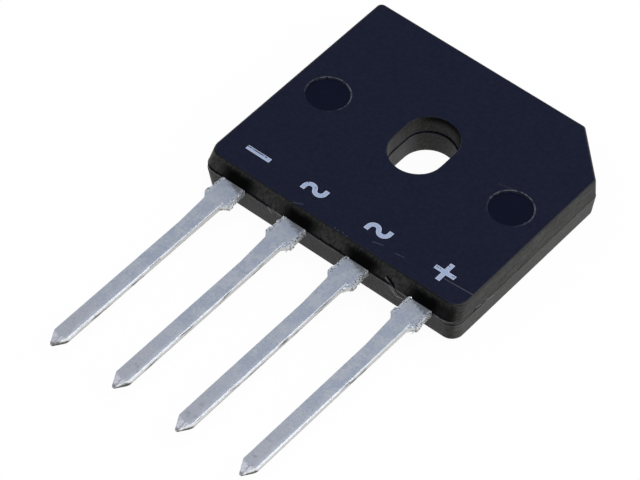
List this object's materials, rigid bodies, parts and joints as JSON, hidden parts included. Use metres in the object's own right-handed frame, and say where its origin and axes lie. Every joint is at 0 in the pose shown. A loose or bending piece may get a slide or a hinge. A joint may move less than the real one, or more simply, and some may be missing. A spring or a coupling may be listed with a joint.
{
  "type": "single in-line bridge rectifier",
  "caption": "Flat moulded full-wave bridge rectifier with one cut corner, a screw slot for its heatsink and a row of pointed flat leads.",
  "frame": {"origin": "middle of the screw slot on the heatsink face", "axes": "+X along the lead row towards the positive lead, +Y away from the leads, +Z out of the marked face"},
  "size_m": [0.0208, 0.0358, 0.0032],
  "materials": {
    "epoxy": "satin moulded epoxy",
    "tinned_copper": "matt tin plate over copper",
    "silicon": "sawn and passivated silicon",
    "copper": "bare formed copper",
    "solder": "dull high-lead solder"
  },
  "bodies": {
    "root": {"anode_solder_back_left": "solder", "anode_solder_back_right": "solder", "anode_solder_front_left": "solder", "anode_solder_front_right": "solder", "chip_solder_back_left": "solder", "chip_solder_back_right": "solder", "chip_solder_front_left": "solder", "chip_solder_front_right": "solder", "clip_back_left": "copper", "clip_back_right": "copper", "clip_front_left": "copper", "clip_front_right": "copper", "diode_chip_back_left": "silicon", "diode_chip_back_right": "silicon", "diode_chip_front_left": "silicon", "diode_chip_front_right": "silicon", "foot_solder_back_left": "solder", "foot_solder_back_right": "solder", "foot_solder_front_left": "solder", "foot_solder_front_right": "solder", "lead_ac_left": "tinned_copper", "lead_ac_right": "tinned_copper", "lead_negative": "tinned_copper", "lead_positive": "tinned_copper", "moulded_case": "epoxy"}
  },
  "joints": []
}
